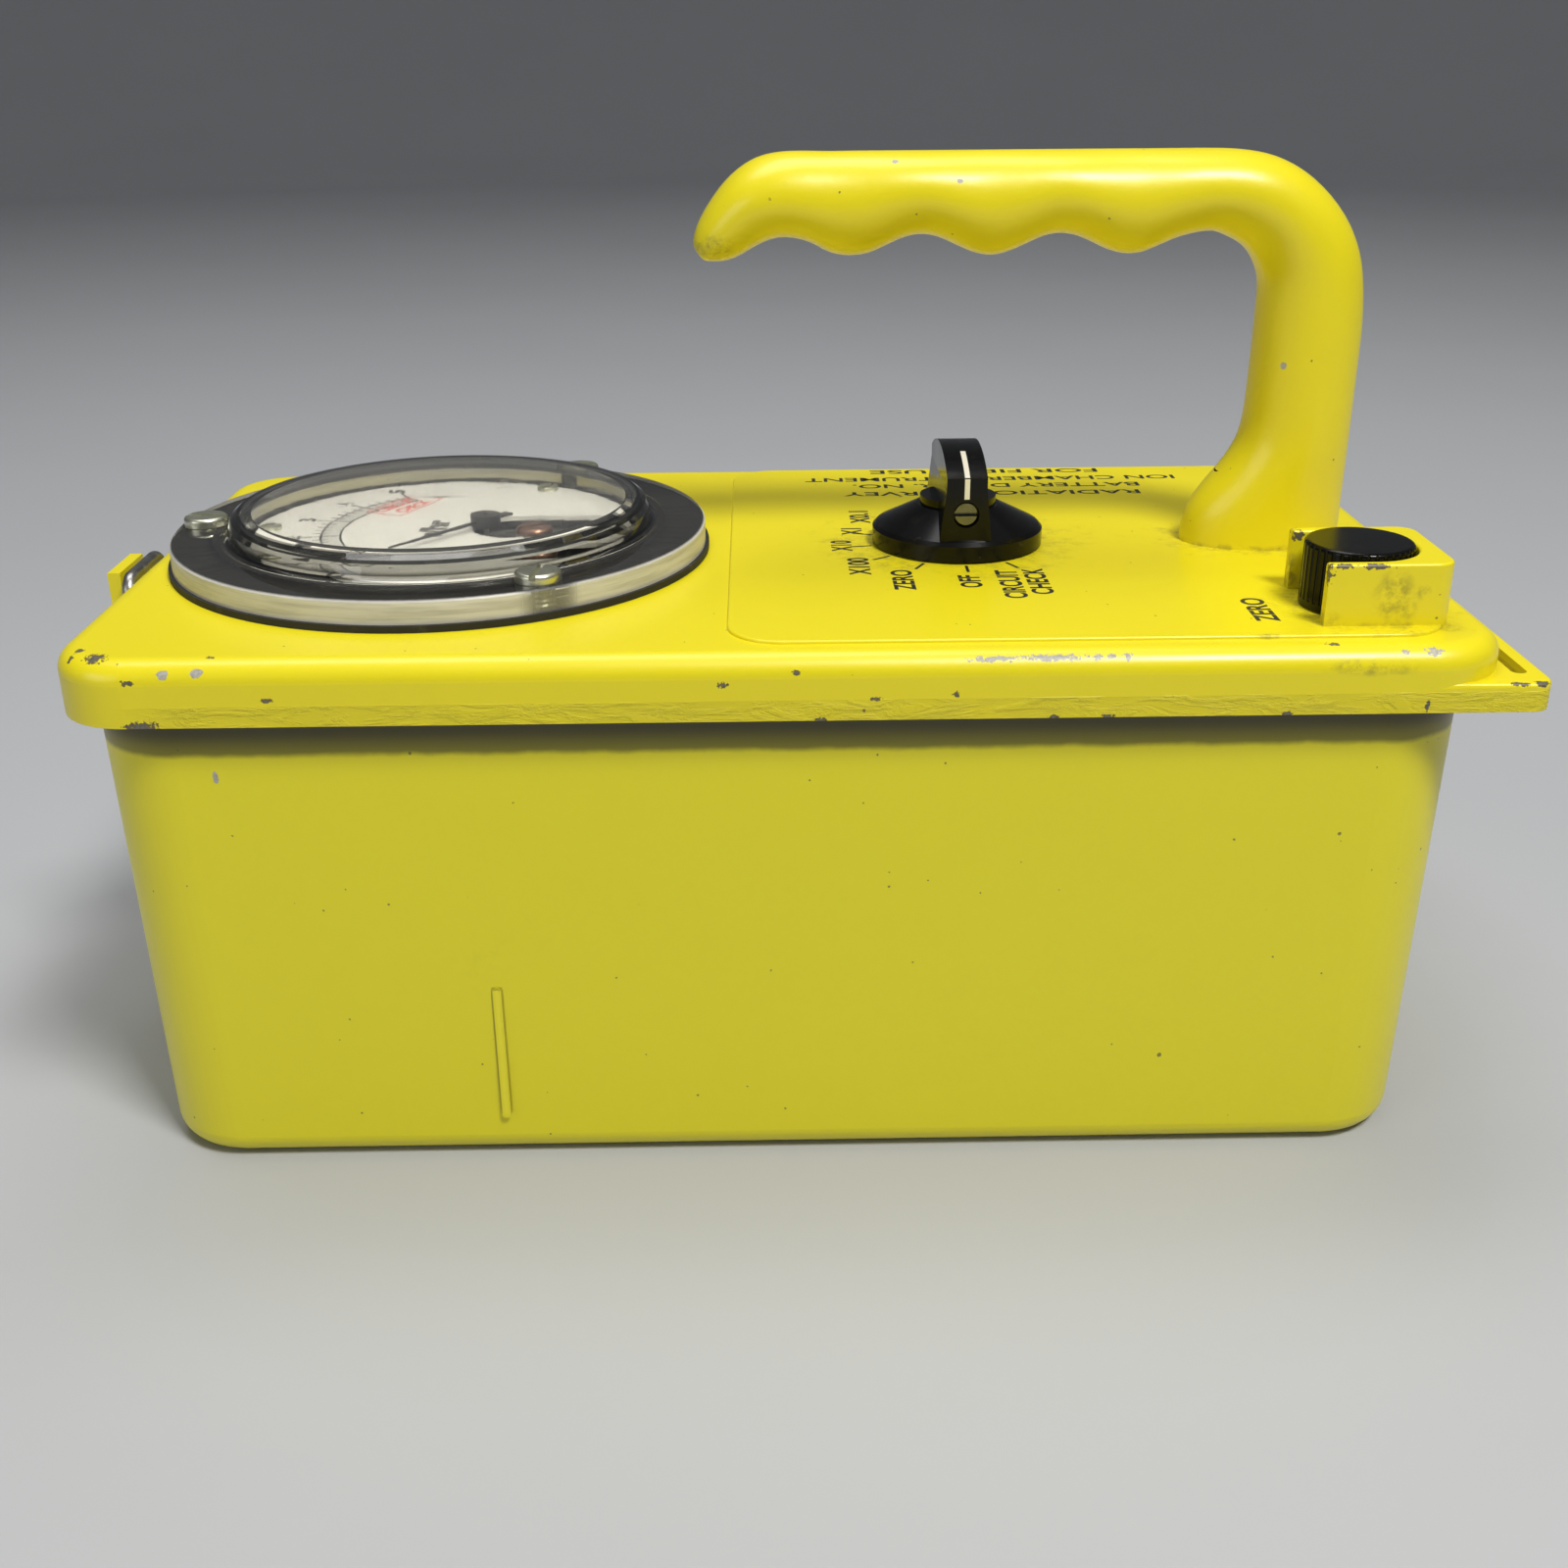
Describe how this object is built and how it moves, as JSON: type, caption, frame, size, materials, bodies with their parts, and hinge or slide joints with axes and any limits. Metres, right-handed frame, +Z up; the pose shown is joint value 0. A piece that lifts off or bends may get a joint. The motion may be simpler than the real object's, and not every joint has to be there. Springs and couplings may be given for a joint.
{
  "type": "radiation survey meter",
  "caption": "Hand-carried radiation survey meter: tapered box with cast cover, pistol handle, domed dial meter, range knob, zero knob and end latches.",
  "frame": {"origin": "middle of the flat underside of the pan", "axes": "+X to the handle-post end, +Y to the rear, +Z up"},
  "size_m": [0.2256, 0.115, 0.1503],
  "materials": {
    "yellow_paint": "satin",
    "black_rubber": "matt",
    "clear_acrylic": "polished",
    "black_phenolic": "gloss",
    "plated_steel": "plated",
    "nickel_brass": "plated",
    "dial_white": "matt",
    "needle_black": "matt",
    "magnet_iron": "ground",
    "copper": "dull",
    "bare_aluminium": "satin",
    "spring_bronze": "bright",
    "switch_laminate": "matt",
    "control_can": "satin",
    "insulator_white": "glazed",
    "tube_glass": "clear",
    "transformer_iron": "varnished",
    "resistor_body": "lacquered",
    "capacitor_body": "waxed",
    "cell_jacket": "printed",
    "latch_steel": "plated"
  },
  "bodies": {
    "housing": {"case_bottom": "yellow_paint", "top_cover": "yellow_paint", "handle": "yellow_paint", "case_gasket": "black_rubber", "meter_gasket": "black_rubber", "meter_seal_ring": "black_rubber", "meter_window": "clear_acrylic", "meter_barrel": "black_phenolic", "movement_bridge": "black_phenolic", "battery_holder": "black_phenolic", "handle_screws": "plated_steel", "meter_screws": "plated_steel", "meter_nuts": "plated_steel", "dial_screws": "plated_steel", "board_standoffs": "plated_steel", "board_screws": "plated_steel", "chamber_studs": "plated_steel", "tube_clip": "plated_steel", "battery_clamp": "plated_steel", "battery_negative_spring": "plated_steel", "meter_terminals": "nickel_brass", "range_nut": "nickel_brass", "zero_nut": "nickel_brass", "battery_positive_contact": "nickel_brass", "meter_dial": "dial_white", "movement_magnet": "magnet_iron", "movement_core": "magnet_iron", "meter_zero_screw": "copper", "movement_base": "bare_aluminium", "chamber_can": "bare_aluminium", "chamber_lid": "bare_aluminium", "chamber_collector": "bare_aluminium", "battery_bracket": "bare_aluminium", "range_switch": "switch_laminate", "circuit_board": "switch_laminate", "zero_control": "control_can", "chamber_insulator": "insulator_white", "electrometer_tube": "tube_glass", "transformer": "transformer_iron", "resistors": "resistor_body", "capacitors": "capacitor_body", "battery_cell": "cell_jacket", "latch_bracket_left": "latch_steel", "latch_pin_left": "latch_steel", "latch_rivets_left": "latch_steel", "latch_bracket_right": "latch_steel", "latch_pin_right": "latch_steel", "latch_rivets_right": "latch_steel"},
    "range_selector": {"range_knob": "black_phenolic", "range_set_screw": "plated_steel", "range_shaft": "plated_steel"},
    "zero_adjuster": {"zero_knob": "black_phenolic", "zero_shaft": "plated_steel"},
    "meter_movement": {"moving_coil": "bare_aluminium", "meter_pointer": "needle_black", "hairspring": "spring_bronze"},
    "lever_left": {"latch_lever_left": "latch_steel"},
    "bail_left": {"latch_bail_left": "latch_steel"},
    "lever_right": {"latch_lever_right": "latch_steel"},
    "bail_right": {"latch_bail_right": "latch_steel"}
  },
  "joints": [
    {"name": "range_turn", "type": "hinge", "parent": "housing", "child": "range_selector", "pos_m": [0.0307, 0, 0.095], "axis": [0, 0, 1], "range_deg": [-135, 27]},
    {"name": "zero_turn", "type": "hinge", "parent": "housing", "child": "zero_adjuster", "pos_m": [0.0869, -0.0379, 0.092], "axis": [0, 0, 1], "range_deg": [-150, 150]},
    {"name": "pointer_swing", "type": "hinge", "parent": "housing", "child": "meter_movement", "pos_m": [-0.0495, 0, 0.08], "axis": [0, 0, 1], "range_deg": [-104, 0], "stiffness_Nm_per_rad": 0.00001},
    {"name": "lever_left_lift", "type": "hinge", "parent": "housing", "child": "lever_left", "pos_m": [-0.1076, 0, 0.066], "axis": [0, 1, 0], "range_deg": [0, 90]},
    {"name": "bail_left_swing", "type": "hinge", "parent": "lever_left", "child": "bail_left", "pos_m": [-0.107, 0, 0.06104], "axis": [0, 1, 0], "range_deg": [-72, 0]},
    {"name": "lever_right_lift", "type": "hinge", "parent": "housing", "child": "lever_right", "pos_m": [0.1076, 0, 0.066], "axis": [0, -1, 0], "range_deg": [0, 90]},
    {"name": "bail_right_swing", "type": "hinge", "parent": "lever_right", "child": "bail_right", "pos_m": [0.107, 0, 0.06104], "axis": [0, -1, 0], "range_deg": [-72, 0]}
  ],
  "couplings": [
    {"joint": "bail_left_swing", "follows": "lever_left_lift", "ratio": -0.8},
    {"joint": "bail_right_swing", "follows": "lever_right_lift", "ratio": -0.8}
  ]
}
